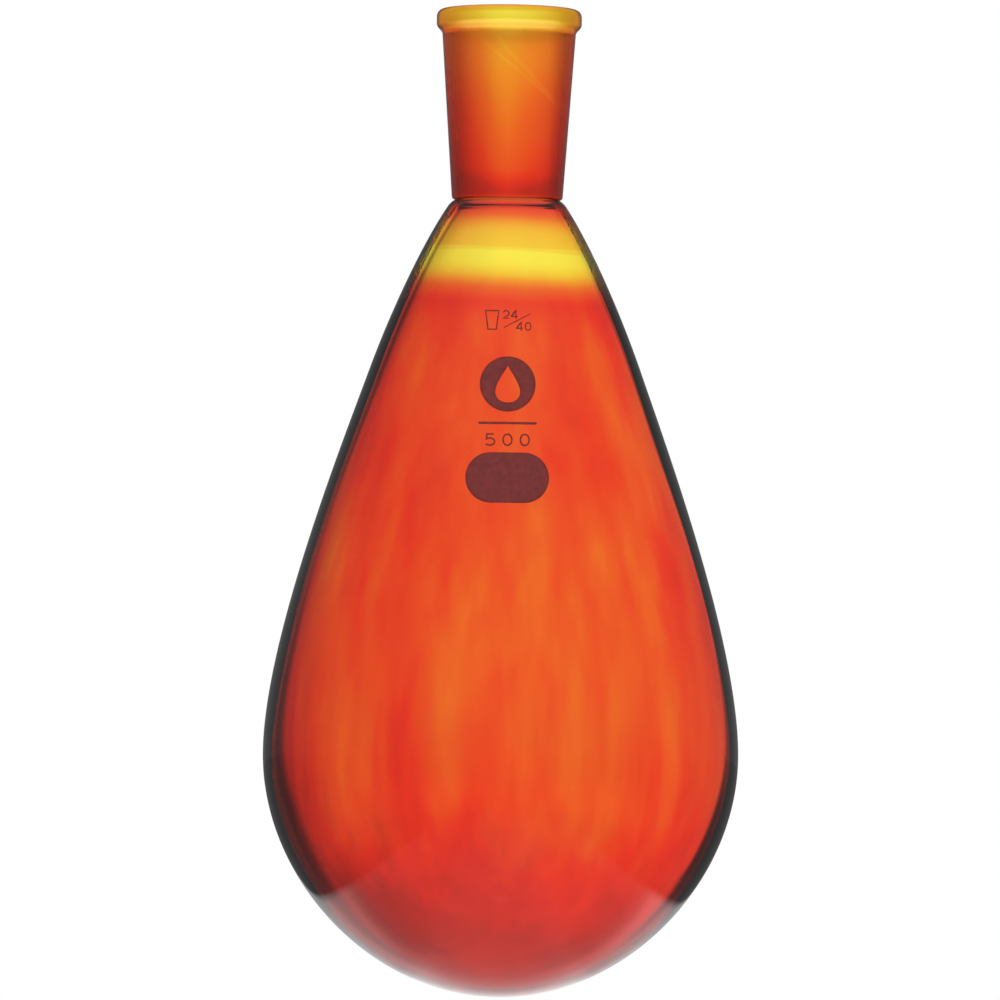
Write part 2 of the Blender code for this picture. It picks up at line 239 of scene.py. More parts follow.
STAIN_COLOURS = (
    (0.0, (0.930, 0.840, 0.065)),
    (0.2, (0.880, 0.580, 0.032)),
    (0.4, (0.855, 0.292, 0.018)),
    (0.6, (0.812, 0.114, 0.016)),
    (0.8, (0.790, 0.036, 0.014)),
    (0.9, (0.690, 0.026, 0.015)),
    (1.0, (0.460, 0.022, 0.015)),
)

# Glass: how strongly it bends light, and how rough its polished face is.
GLASS_IOR = 1.47
POLISH = 0.015
# The stain's boundaries waver by this many mm.
WAVER_SCALE, WAVER = (60.0, 60.0, 60.0), 0.5
# Upright streaks and broad clouds in the stain: how fine across, along and up, and how strong.
STREAK_SCALE, STREAK_DETAIL, STREAK_SOFTNESS = (95.0, 95.0, 9.0), 3.0, 0.55
CLOUD_SCALE, CLOUD_DETAIL, CLOUD_SOFTNESS = (30.0, 30.0, 16.0), 3.0, 0.5
STREAKS, CLOUDS = 0.72, 0.58
# How much they show, by depth as a share of the flask's height.
UNEVEN_BY_DEPTH = (
    (0.0, 0.1),
    (0.05, 0.5),
    (0.2, 0.3),
    (0.23, 0.12),
    (0.28, 0.3),
    (0.34, 1.0),
    (0.84, 1.0),
    (0.93, 0.3),
)
# The joint's inner face, ground matt.
GROUND_ROUGHNESS = 0.36
GROUND_TINT = (0.99, 0.985, 0.98, 1.0)
GRAIN_SCALE, GRAIN_DETAIL, GRAIN_BUMP = 3000.0, 2.0, 0.15
BUMP_DEPTH = 0.02 * MM
# Enamel: its mottle, and its darker and lighter colours.
MOTTLE_SCALE, MOTTLE_DETAIL, MOTTLE_BUMP = 900.0, 4.0, 0.25
ENAMEL_COLOURS = ((0.3, (0.165, 0.012, 0.010)), (0.7, (0.225, 0.017, 0.014)))
ENAMEL_ROUGHNESS, ENAMEL_IOR = 0.55, 1.5
# A slanting look passes through more of the stain. Painted shade: the left side gets denser stain, most so
# low down.
SLANT_STAIN, JOINT_SLANT_STAIN = 0.22, 0.40
LEFT_SHADE, LEFT_SHADE_LOW = 0.75, 1.35
LEFT_SHADE_FROM, LEFT_SHADE_TO = 95.0, 130.0
# The stain has a sharp step where it was dipped, and its lines lean to the right and to the back.
STEP_FROM, STEP_TO, STEP_GONE_FROM, STEP_GONE, STEP = 50.2, 50.5, 53.0, 57.0, 0.17
LEAN_ACROSS, LEAN_BACK = -0.03, 0.042
# Tint of the stained glass, and how much of it is clear and not milky. A tint above 1 is painted light; below
# 1 it is the glass's own hue.
BULB_STAIN = ((1.0, 1.0, 1.0), 1.0)
TUBE_STAIN_AND_PAINTED_LIGHT = ((1.18, 1.18, 0.95), 1.0)
BEAD_STAIN_AND_PAINTED_LIGHT = ((1.18, 1.18, 0.6), 0.58)
# Painted shade: near its outline the glass keeps only a part of its colour, from a little further in low
# down.
GRAZING_FROM, GRAZING_TO = 0.66, 0.84
GRAZING_LEFT, WALL_LIGHT_LEFT = 0.10, 0.85
LOW_FROM, LOW_TO, LOW_SHIFT = 145.0, 172.0, 0.08
# How much the wall's inner face sends back the light inside the wall, by depth below the mouth in mm.
WALL_LIGHT_BY_DEPTH = ((40.0, 0.35), (56.0, 0.28), (66.0, 0.0), (186.0, 0.0), (190.0, 0.75))
# Painted highlights: thin pale streaks down the front of the joint, in mm: depths of their ends, where each
# starts across the front, where both end, half-width, how far they take to fade at each end, and how much
# paler they are.
HIGHLIGHT_TOP, HIGHLIGHT_FOOT, HIGHLIGHT_STARTS, HIGHLIGHT_END, HIGHLIGHT_WIDTH = 3.0, 23.0, (-7.4, -3.4), 10.6, 0.9
HIGHLIGHT_FADE_IN, HIGHLIGHT_FADE_OUT = (1.0, 5.0), 6.0
HIGHLIGHT_PALER = 0.07

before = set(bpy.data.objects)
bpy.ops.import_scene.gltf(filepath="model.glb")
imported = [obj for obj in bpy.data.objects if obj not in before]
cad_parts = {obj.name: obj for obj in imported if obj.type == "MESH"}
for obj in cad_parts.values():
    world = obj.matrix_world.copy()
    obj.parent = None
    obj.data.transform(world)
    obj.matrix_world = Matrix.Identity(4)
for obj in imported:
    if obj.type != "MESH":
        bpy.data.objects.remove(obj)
cad_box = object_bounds()


# ---------------------------------------------------------------- shapes


def bezier(start, start_handle, end_handle, end, t):
    """Point and tangent of a cubic curve."""
    a, b, c, d = (Vector(point) for point in (start, start_handle, end_handle, end))
    s = 1.0 - t
    point = a * s**3 + b * 3 * s * s * t + c * 3 * s * t * t + d * t**3
    tangent = (b - a) * 3 * s * s + (c - b) * 6 * s * t + (d - c) * 3 * t * t
    return point, tangent.normalized()


def curve_points(curve, steps, last=True):
    return [bezier(*curve, step / steps)[0] for step in range(steps + (1 if last else 0))]


def below(radius, depth):
    return Vector((radius, -depth))


SHOULDER_CURVE = (
    below(SEAL_RADIUS, SEAL_DEPTH),
    below(*SHOULDER_HANDLES[0]),
    below(*SHOULDER_HANDLES[1]),
    below(SHOULDER_RADIUS, SHOULDER_DEPTH),
)
CONE_CURVE = (
    below(SHOULDER_RADIUS, SHOULDER_DEPTH),
    below(*CONE_HANDLES[0]),
    below(*CONE_HANDLES[1]),
    below(CONE_RADIUS, CONE_DEPTH),
)
FLANK_CURVE = (
    below(CONE_RADIUS, CONE_DEPTH),
    below(*FLANK_HANDLES[0]),
    below(*FLANK_HANDLES[1]),
    below(WIDEST_RADIUS, WIDEST_DEPTH),
)
BASE_CURVE = (
    below(WIDEST_RADIUS, WIDEST_DEPTH),
    below(*BASE_HANDLES[0]),
    below(*BASE_HANDLES[1]),
    below(0.0, HEIGHT),
)


def bore_radius(depth):
    return (JOINT_BORE - JOINT_TAPER * depth) / 2


def socket_outline():
    """The socket's outside from the mouth down to the seal, its inside back up, and the rounded lip."""
    outside = []
    for step in range(BEAD_STEPS + 1):
        angle = math.pi / 2 * step / BEAD_STEPS
        across = (BEAD_RADIUS - LAND_RADIUS) * math.sin(angle)
        outside.append(below(LAND_RADIUS + across, BEAD_TOP * (1.0 - math.cos(angle))))
    middle = (BEAD_SIDE_END + BEAD_FOOT) / 2
    underside = (
        below(BEAD_RADIUS, BEAD_SIDE_END),
        below(BEAD_RADIUS, middle),
        below(TUBE_TOP_RADIUS, middle),
        below(TUBE_TOP_RADIUS, BEAD_FOOT),
    )
    outside += curve_points(underside, BEAD_STEPS)
    top, foot = below(TUBE_TOP_RADIUS, BEAD_FOOT), below(TUBE_FOOT_RADIUS, TUBE_FOOT)
    outside += [top.lerp(foot, step / TUBE_STEPS) for step in range(1, TUBE_STEPS)]
    foot_curve = (
        foot,
        foot + below(*FOOT_HANDLES[0]),
        below(SEAL_RADIUS, SEAL_DEPTH) + below(*FOOT_HANDLES[1]),
        below(SEAL_RADIUS, SEAL_DEPTH),
    )
    outside += curve_points(foot_curve, FOOT_STEPS)
    inside = []
    for step in range(TUBE_STEPS + 1):
        depth = SEAL_DEPTH - (SEAL_DEPTH - MOUTH_ROUND) * step / TUBE_STEPS
        inside.append(below(bore_radius(depth), depth))
    lip = []
    for step in range(1, BEAD_STEPS // 2 + 1):
        angle = math.pi / 2 * step / (BEAD_STEPS // 2)
        across = MOUTH_ROUND * (1.0 - math.cos(angle))
        lip.append(below(bore_radius(0.0) + across, MOUTH_ROUND * (1.0 - math.sin(angle))))
    return outside, inside, lip


def bulb_outline():
    """The bulb's outside from the seal to the bottom, and its inside back up to the seal."""
    body = []
    for curve, steps in ((CONE_CURVE, CONE_STEPS), (FLANK_CURVE, FLANK_STEPS), (BASE_CURVE, BASE_STEPS)):
        body += [bezier(*curve, step / steps) for step in range(steps)]
    outside = curve_points(SHOULDER_CURVE, SHOULDER_STEPS, last=False)
    outside += [point for point, _ in body] + [below(0.0, HEIGHT)]
    inner = [point + WALL * Vector((tangent.y, -tangent.x)) for point, tangent in body]
    throat = below(bore_radius(SEAL_DEPTH), SEAL_DEPTH)
    throat_curve = (
        throat,
        throat + below(0.0, THROAT_HANDLES[0]),
        inner[0] - (inner[1] - inner[0]).normalized() * THROAT_HANDLES[1],
        inner[0],
    )
    inside = [below(0.0, HEIGHT - WALL)] + inner[:0:-1] + curve_points(throat_curve, SHOULDER_STEPS)[::-1]
    return outside, inside


def wall_wave(angle, height):
    """Unevenness of the blown wall, felt on its inner face."""
    waves = 0.0
    for size, turns, climb, start in SLOW_WAVES + QUICK_WAVES:
        waves += size * math.sin(turns * angle + climb * height + start)
    return WALL_WAVE * waves / 2


def turned(name, parts, materials, wavy=()):
    """A closed solid of revolution. Each part is (points, material index), run down the outside and up the
    inside; the last part joins the first unless both ends lie on the axis."""
    vertices, rings, finishes = [], [], []
    for number, (points, finish) in enumerate(parts):
        for point in points:
            if point.x < ON_AXIS:
                rings.append([len(vertices)])
                vertices.append((0.0, 0.0, point.y))
            else:
                ring = []
                for i in range(SEGMENTS):
                    angle = 2 * math.pi * i / SEGMENTS
                    fade = min(1.0, (-point.y - SHOULDER_DEPTH) / WAVE_FADE_DEPTH) if number in wavy else 0.0
                    fade *= min(1.0, point.x / WAVE_FADE_RADIUS)
                    radius = point.x + (fade * wall_wave(angle, point.y) if fade > 0.0 else 0.0)
                    ring.append(len(vertices))
                    vertices.append((radius * math.cos(angle), radius * math.sin(angle), point.y))
                rings.append(ring)
            finishes.append(finish)
    closed = len(rings[0]) > 1
    faces, indices = [], []
    for i in range(len(rings) if closed else len(rings) - 1):
        upper, lower = rings[i], rings[(i + 1) % len(rings)]
        if len(upper) == 1 and len(lower) == 1:
            continue
        for j in range(SEGMENTS):
            k = (j + 1) % SEGMENTS
            if len(upper) == 1:
                faces.append((upper[0], lower[j], lower[k]))
            elif len(lower) == 1:
                faces.append((upper[k], upper[j], lower[0]))
            else:
                faces.append((upper[j], lower[j], lower[k], upper[k]))
            indices.append(finishes[i])
    mesh = bpy.data.meshes.new(name)
    mesh.from_pydata(vertices, [], faces)
    for finish in materials:
        mesh.materials.append(finish)
    mesh.polygons.foreach_set("material_index", indices)
    mesh.shade_smooth()
    mesh.set_sharp_from_angle(angle=SHARP_EDGE)
    obj = bpy.data.objects.new(name, mesh)
    bpy.context.scene.collection.objects.link(obj)
    return obj


# ---------------------------------------------------------------- enamel marks


def flank_at(height):
    """Radius of the bulb at a height above its widest ring, and the outward normal there as (across, up)."""
    curve = CONE_CURVE if height > -CONE_DEPTH else FLANK_CURVE
    low, high = 0.0, 1.0
    for _ in range(HALVINGS):
        middle = (low + high) / 2
        point, tangent = bezier(*curve, middle)
        if point.y > height:
            low = middle
        else:
            high = middle
    return point.x, Vector((-tangent.y, tangent.x))


def on_bulb(across, height, lift):
    radius, normal = flank_at(height)
    angle = across / radius
    out = radius + lift * normal.x
    return (out * math.sin(angle), -out * math.cos(angle), height + lift * normal.y)


def ellipse(centre, radius_x, radius_y, count=MARK_STEPS):
    turns = [2 * math.pi * i / count for i in range(count)]
    return [(centre[0] + radius_x * math.cos(a), centre[1] + radius_y * math.sin(a)) for a in turns]


def arc(centre, radius_x, radius_y, start, end, steps):
    """Points from start to end degrees, counter-clockwise from the right."""
    turns = [math.radians(start + (end - start) * i / steps) for i in range(steps + 1)]
    return [(centre[0] + radius_x * math.cos(a), centre[1] + radius_y * math.sin(a)) for a in turns]


def ribbon(path, width):
    """Outline of a stroke of even width along an open path, with mitred corners."""
    points = [Vector(point) for point in path]
    left, right = [], []
    for i, point in enumerate(points):
        before = (point - points[i - 1]).normalized() if i else None
        after = (points[i + 1] - point).normalized() if i + 1 < len(points) else None
        along = ((before or after) + (after or before)).normalized()
        side = Vector((-along.y, along.x))
        reach = width / 2 / max(MITRE_LIMIT, along.dot(after or before))
        left.append(tuple(point + side * reach))
        right.append(tuple(point - side * reach))
    return left + right[::-1]


def digit_zero(width, height, stroke):
    outer = ellipse((0.0, 0.0), width / 2, height / 2)
    inner = ellipse((0.0, 0.0), width / 2 - stroke, height / 2 - stroke)
    return [outer, inner]


def digit_two(width, height, stroke):
    side, top = (width - stroke) / 2, (height - stroke) / 2
    bowl = arc((0.0, top - side), side, side, *TWO_BOWL)
    return [ribbon(bowl + [(-side, -top), (side, -top)], stroke)]


def digit_four(width, height, stroke):
    stem, bar = width * FOUR_STEM, height * FOUR_BAR
    half, top = stroke / 2, height / 2
    outer = [
        (stem - half, -top),
        (stem + half, -top),
        (stem + half, bar - half),
        (width / 2, bar - half),
        (width / 2, bar + half),
        (stem + half, bar + half),
        (stem + half, top),
        (stem - half, top),
        (-width / 2, bar + half),
        (-width / 2, bar - half),
        (stem - half, bar - half),
    ]
    inner = [
        (stem - half, bar + half),
        (stem - half, top - stroke * FOUR_NOTCH_TOP),
        (-width / 2 + stroke * FOUR_NOTCH_LEFT, bar + half),
    ]
    return [outer, inner]


def digit_five(width, height, stroke):
    side, top = (width - stroke) / 2, (height - stroke) / 2
    bowl_height = (height - stroke) * FIVE_BOWL_HEIGHT
    centre = (-side * FIVE_BOWL_SHIFT, -top + bowl_height)
    bowl = arc(centre, side * FIVE_BOWL_SIDE, bowl_height, *FIVE_BOWL)
    flag = [(side * FIVE_FLAG, top), (-side * FIVE_BACK_TOP, top)]
    back = [(-side * FIVE_BACK_FOOT, height * FIVE_BACK_HEIGHT)]
    return [ribbon(flag + back + bowl[1:], stroke)]


def drop(width, height):
    """A drop with its point at the top."""
    points = []
    for i in range(MARK_STEPS):
        turn = 2 * math.pi * i / MARK_STEPS
        across = DROP_FULLNESS * width * math.sin(turn) * math.sin(turn / 2) ** DROP_SHARPNESS
        points.append((across, height / 2 * math.cos(turn)))
    return points


def stadium(width, height, steps):
    radius = height / 2
    reach = width / 2 - radius
    right = arc((reach, 0.0), radius, radius, -90, 90, steps)
    left = arc((-reach, 0.0), radius, radius, 90, 270, steps)
    return right + left


def tapered_frame(top, foot, height, stroke):
    """A hollow outline that narrows downwards, as the joint does."""
    loops = []
    for inset in (0.0, stroke):
        upper, lower, half = top / 2 - inset, foot / 2 - inset, height / 2 - inset
        loops.append([(-upper, half), (-lower, -half), (lower, -half), (upper, half)])
    return loops


def inside_loops(point, loops):
    crossings = 0
    for loop in loops:
        for (ax, ay), (bx, by) in zip(loop, loop[1:] + loop[:1]):
            if (ay > point[1]) != (by > point[1]):
                crossings += point[0] < ax + (point[1] - ay) / (by - ay) * (bx - ax)
    return crossings % 2 == 1


def with_short_edges(loop):
    points = []
    for start, end in zip(loop, loop[1:] + loop[:1]):
        start, end = Vector(start), Vector(end)
        parts = max(1, math.ceil((end - start).length / ENAMEL_EDGE))
        points += [tuple(start.lerp(end, i / parts)) for i in range(parts)]
    return points


def fill(loops):
    """Triangles inside the loops, with points on a grid in the wide ones."""
    points, edges = [], []
    for loop in loops:
        first = len(points)
        points += [Vector(point) for point in loop]
        edges += [(first + i, first + (i + 1) % len(loop)) for i in range(len(loop))]
    reach = max(max(abs(x), abs(y)) for x, y in loops[0])
    rows = int(reach / ENAMEL_EDGE)
    for i in range(-rows, rows + 1):
        for j in range(-rows, rows + 1):
            spot = Vector((i * ENAMEL_EDGE, j * ENAMEL_EDGE))
            clear = min((spot - Vector(point)).length for loop in loops for point in loop)
            if inside_loops(spot, loops) and clear > ENAMEL_EDGE / 2:
                points.append(spot)
    corners, _, triangles, *_ = delaunay_2d_cdt(points, edges, [], 0, SAME_POINT)
    kept = []
    for triangle in triangles:
        middle = sum((corners[i] for i in triangle), Vector((0.0, 0.0))) / 3
        if inside_loops(middle, loops):
            kept.append(triangle)
    return corners, kept


def printed(node, loops, across, depth, finish):
    """A printed mark that stands for the CAD node of that name."""
    corners, triangles = fill([with_short_edges(loop) for loop in loops])
    used = sorted({i for triangle in triangles for i in triangle})
    order = {old: new for new, old in enumerate(used)}
    vertices = [on_bulb(across + corners[i].x, corners[i].y - depth, ENAMEL_GAP) for i in used]
    faces = [tuple(order[i] for i in triangle) for triangle in triangles]
    mesh = bpy.data.meshes.new(f"print_{node}")
    mesh.from_pydata(vertices, [], faces)
    mesh.materials.append(finish)
    mesh.shade_smooth()
    obj = bpy.data.objects.new(f"print_{node}", mesh)
    bpy.context.scene.collection.objects.link(obj)
    thickness = obj.modifiers.new("enamel", "SOLIDIFY")
    thickness.thickness = ENAMEL
    thickness.offset = 1.0
    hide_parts(node)
    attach(obj, "root")
    return obj


def print_marks(finish):
    size = (SIZE_DIGIT_WIDTH, SIZE_DIGIT_HEIGHT, SIZE_STROKE)
    two, upper_four, lower_four, zero = SIZE_COLUMNS
    printed("joint_size_2", digit_two(*size), two, SIZE_UPPER_DEPTH, finish)
    printed("joint_size_4_upper", digit_four(*size), upper_four, SIZE_UPPER_DEPTH, finish)
    printed("joint_size_4_lower", digit_four(*size), lower_four, SIZE_LOWER_DEPTH, finish)
    printed("joint_size_0", digit_zero(*size), zero, SIZE_LOWER_DEPTH, finish)
    (left, low), (right, high) = SLASH_ENDS
    middle_x, middle_depth = (left + right) / 2, (low + high) / 2
    path = [(left - middle_x, middle_depth - low), (right - middle_x, middle_depth - high)]
    printed("joint_size_slash", [ribbon(path, SLASH_STROKE)], middle_x, middle_depth, finish)
    outline = tapered_frame(TAPER_MARK_TOP, TAPER_MARK_FOOT, TAPER_MARK_HEIGHT, SIZE_STROKE)
    printed("taper_symbol", outline, TAPER_MARK_X, TAPER_MARK_DEPTH, finish)
    disc = ellipse((0.0, 0.0), EMBLEM_RADIUS, EMBLEM_RADIUS, 2 * MARK_STEPS)
    printed("emblem", [disc, drop(DROP_WIDTH, DROP_HEIGHT)], 0.0, EMBLEM_DEPTH, finish)
    printed("name_rule", [stadium(RULE_LENGTH, RULE_HEIGHT, RULE_END_STEPS)], 0.0, RULE_DEPTH, finish)
    size = (CAPACITY_DIGIT_WIDTH, CAPACITY_DIGIT_HEIGHT, CAPACITY_STROKE)
    printed("capacity_5", digit_five(*size), -CAPACITY_PITCH, CAPACITY_DEPTH, finish)
    printed("capacity_0_left", digit_zero(*size), 0.0, CAPACITY_DEPTH, finish)
    printed("capacity_0_right", digit_zero(*size), CAPACITY_PITCH, CAPACITY_DEPTH, finish)
    printed("marking_spot", [stadium(SPOT_WIDTH, SPOT_HEIGHT, MARK_STEPS)], 0.0, SPOT_DEPTH, finish)


# ---------------------------------------------------------------- materials


class Tree:
    """Short calls for building a node tree."""

    def __init__(self, owner):
        owner.use_nodes = True
        self.nodes, self.links = owner.node_tree.nodes, owner.node_tree.links
        self.nodes.clear()

    def add(self, kind, inputs=None, **settings):
        node = self.nodes.new(kind)
        for key, value in settings.items():
            setattr(node, key, value)
        for key, value in (inputs or {}).items():
            if isinstance(value, bpy.types.NodeSocket):
                self.links.new(value, node.inputs[key])
            else:
                node.inputs[key].default_value = value
        return node

    def math(self, operation, *values):
        return self.add("ShaderNodeMath", dict(enumerate(values)), operation=operation).outputs[0]

    def between(self, value, low, high, to_low=0.0, to_high=1.0, smooth=True):
        inputs = {"Value": value, 1: low, 2: high, 3: to_low, 4: to_high}
        kind = "SMOOTHSTEP" if smooth else "LINEAR"
        return self.add("ShaderNodeMapRange", inputs, interpolation_type=kind).outputs[0]

    def ramp(self, value, stops):
        """stops are (position, colour), and a colour may be one grey number."""
        node = self.add("ShaderNodeValToRGB", {"Fac": value})
        elements = node.color_ramp.elements
        while len(elements) < len(stops):
            elements.new(1.0)
        for element, (position, colour) in zip(elements, stops):
            element.position = position
            element.color = (*colour, 1.0) if isinstance(colour, tuple) else (colour, colour, colour, 1.0)
        return node.outputs["Color"]

    def noise(self, place, scale, detail=2.0, roughness=0.5):
        """Noise around 0, from about -0.5 to 0.5."""
        stretched = self.add("ShaderNodeVectorMath", {0: place, 1: scale}, operation="MULTIPLY").outputs[0]
        inputs = {"Vector": stretched, "Scale": 1.0, "Detail": detail, "Roughness": roughness}
        return self.math("SUBTRACT", self.add("ShaderNodeTexNoise", inputs).outputs[0], 0.5)


def wall_light(tree, z):
    depth = tree.math("MULTIPLY", z, -1.0 / HEIGHT)
    return tree.ramp(depth, [(mm * MM / HEIGHT, level) for mm, level in WALL_LIGHT_BY_DEPTH])


def stained_glass(name, tint_and_painted_light, clearness):
    """Clear glass with the stain on its outer face, denser or thinner by height and in upright streaks, with
    painted shade near
     its outline and on its left side, painted highlights down the front of the joint, and painted light where
     the tint is above 1. What is not clear is milky."""
    made = bpy.data.materials.new(name)
    tree = Tree(made)
    place = tree.add("ShaderNodeTexCoord").outputs["Object"]
    x, y, z = tree.add("ShaderNodeSeparateXYZ", {0: place}).outputs
    depth = tree.math("MULTIPLY", z, -1.0 / MM)
    depth = tree.math("MULTIPLY_ADD", tree.noise(place, WAVER_SCALE), WAVER, depth)
    depth = tree.math("MULTIPLY_ADD", x, LEAN_ACROSS / MM, depth)
    depth = tree.math("MULTIPLY_ADD", y, LEAN_BACK / MM, depth)
    share = tree.math("DIVIDE", depth, HEIGHT / MM)
    base = tree.ramp(share, [(mm * MM / HEIGHT, grey) for mm, grey in STAIN_BY_DEPTH])
    streaks = tree.noise(place, STREAK_SCALE, STREAK_DETAIL, STREAK_SOFTNESS)
    clouds = tree.noise(place, CLOUD_SCALE, CLOUD_DETAIL, CLOUD_SOFTNESS)
    both = tree.math("ADD", tree.math("MULTIPLY", streaks, STREAKS), tree.math("MULTIPLY", clouds, CLOUDS))
    density = tree.math("MULTIPLY_ADD", both, tree.ramp(share, UNEVEN_BY_DEPTH), base)
    step = tree.between(depth, STEP_FROM, STEP_TO, 0.0, STEP)
    step = tree.math("MULTIPLY", step, tree.between(depth, STEP_GONE_FROM, STEP_GONE, 1.0, 0.0))
    density = tree.math("SUBTRACT", density, step)
    facing = tree.add("ShaderNodeLayerWeight", {"Blend": 0.5}).outputs["Facing"]
    on_joint = tree.between(depth, (SEAL_DEPTH - MM) / MM, SHOULDER_DEPTH / MM, 1.0, 0.0)
    joint_slant = tree.math("MULTIPLY", tree.math("SQRT", facing), JOINT_SLANT_STAIN)
    bulb_slant = tree.math("MULTIPLY", facing, SLANT_STAIN)
    slant = tree.add("ShaderNodeMix", {0: on_joint, 2: bulb_slant, 3: joint_slant}, data_type="FLOAT")
    density = tree.math("ADD", density, slant.outputs[0])
    # Painted shade: denser stain towards the left, more so low down.
    side = tree.between(depth, LEFT_SHADE_FROM, LEFT_SHADE_TO, -LEFT_SHADE, -LEFT_SHADE_LOW)
    density = tree.math("MULTIPLY_ADD", x, side, density)
    # Painted highlights: the stain is paler along two thin streaks on the front of the joint.
    fade_in = tree.between(depth, HIGHLIGHT_TOP + HIGHLIGHT_FADE_IN[0], HIGHLIGHT_TOP + HIGHLIGHT_FADE_IN[1])
    fade_out = tree.between(depth, HIGHLIGHT_FOOT - HIGHLIGHT_FADE_OUT, HIGHLIGHT_FOOT, 1.0, 0.0)
    fade = tree.math("MULTIPLY", fade_in, fade_out)
    fade = tree.math("MULTIPLY", fade, tree.math("LESS_THAN", y, 0.0))
    for start in HIGHLIGHT_STARTS:
        middle = tree.between(depth, HIGHLIGHT_TOP, HIGHLIGHT_FOOT, start, HIGHLIGHT_END)
        off = tree.math("MULTIPLY_ADD", x, 1.0 / MM, tree.math("MULTIPLY", middle, -1.0))
        off = tree.math("ABSOLUTE", off)
        painted_highlight = tree.math("MULTIPLY", tree.between(off, 0.0, HIGHLIGHT_WIDTH, 1.0, 0.0), fade)
        density = tree.math("MULTIPLY_ADD", painted_highlight, -HIGHLIGHT_PALER, density)
    density = tree.math("MAXIMUM", density, 0.0)
    colour = tree.ramp(density, STAIN_COLOURS)
    # Painted shade: the colour darkens towards the outline, less where the wall's inner face sends light
    # back.
    left = tree.between(wall_light(tree, z), 0.0, 1.0, GRAZING_LEFT, WALL_LIGHT_LEFT)
    low = tree.between(depth, LOW_FROM, LOW_TO, 0.0, LOW_SHIFT)
    painted_outline_shade = tree.between(tree.math("ADD", facing, low), GRAZING_FROM, GRAZING_TO, 1.0, left)
    colour = tree.add("ShaderNodeVectorMath", {0: colour, 1: painted_outline_shade}, operation="MULTIPLY").outputs[0]
    # Painted light: a tint above 1 brightens the colour beyond the stain's own.
    colour = tree.add("ShaderNodeVectorMath", {0: colour, 1: tint_and_painted_light}, operation="MULTIPLY").outputs[0]
    shader = tree.add(
        "ShaderNodeBsdfPrincipled",
        {"Base Color": colour, "Roughness": POLISH, "IOR": GLASS_IOR, "Transmission Weight": clearness},
    )
    tree.add("ShaderNodeOutputMaterial", {"Surface": shader.outputs[0]})
    return made


def clear_glass():
    """The bulb's inner face. Over most of its height it sends no light back into the wall, so the wall's edge
    stays dark. At the shoulder and at the bottom it does, and the edge glows."""
    made = bpy.data.materials.new("clear_inner_face")
    tree = Tree(made)
    place = tree.add("ShaderNodeTexCoord").outputs["Object"]
    z = tree.add("ShaderNodeSeparateXYZ", {0: place}).outputs[2]
    inputs = {"Color": WHITE, "Roughness": 0.0, "IOR": GLASS_IOR}
    bent = tree.add("ShaderNodeBsdfRefraction", inputs)
    glass = tree.add("ShaderNodeBsdfGlass", inputs)
    both = tree.add("ShaderNodeMixShader", {0: wall_light(tree, z), 1: bent.outputs[0], 2: glass.outputs[0]})
    tree.add("ShaderNodeOutputMaterial", {"Surface": both.outputs[0]})
    return made


def ground_glass():
    """The joint's inner face, ground matt with a fine grain."""
    made = bpy.data.materials.new("ground_inner_face")
    tree = Tree(made)
    place = tree.add("ShaderNodeTexCoord").outputs["Object"]
    inputs = {"Vector": place, "Scale": GRAIN_SCALE, "Detail": GRAIN_DETAIL}
    grain = tree.add("ShaderNodeTexNoise", inputs).outputs[0]
    bump = tree.add("ShaderNodeBump", {"Height": grain, "Strength": GRAIN_BUMP, "Distance": BUMP_DEPTH})
    shader = tree.add(
        "ShaderNodeBsdfPrincipled",
        {
            "Base Color": GROUND_TINT,
            "Roughness": GROUND_ROUGHNESS,
            "IOR": GLASS_IOR,
            "Transmission Weight": 1.0,
            "Normal": bump.outputs[0],
        },
    )
    tree.add("ShaderNodeOutputMaterial", {"Surface": shader.outputs[0]})
    return made


def fused_face():
    """The two glass pieces are fused here, so light passes as if there were no face."""
    made = bpy.data.materials.new("fused_face")
    tree = Tree(made)
    shader = tree.add("ShaderNodeBsdfTransparent", {"Color": WHITE})
    tree.add("ShaderNodeOutputMaterial", {"Surface": shader.outputs[0]})
    return made


def fired_enamel():
    made = bpy.data.materials.new("fired_enamel_print")
    tree = Tree(made)
    place = tree.add("ShaderNodeTexCoord").outputs["Object"]
    inputs = {"Vector": place, "Scale": MOTTLE_SCALE, "Detail": MOTTLE_DETAIL}
    mottle = tree.add("ShaderNodeTexNoise", inputs).outputs[0]
    colour = tree.ramp(mottle, ENAMEL_COLOURS)
    bump = tree.add("ShaderNodeBump", {"Height": mottle, "Strength": MOTTLE_BUMP, "Distance": BUMP_DEPTH})
    inputs = {"Base Color": colour, "Roughness": ENAMEL_ROUGHNESS, "IOR": ENAMEL_IOR}
    shader = tree.add("ShaderNodeBsdfPrincipled", {**inputs, "Normal": bump.outputs[0]})
    tree.add("ShaderNodeOutputMaterial", {"Surface": shader.outputs[0]})
    return made


# ---------------------------------------------------------------- studio


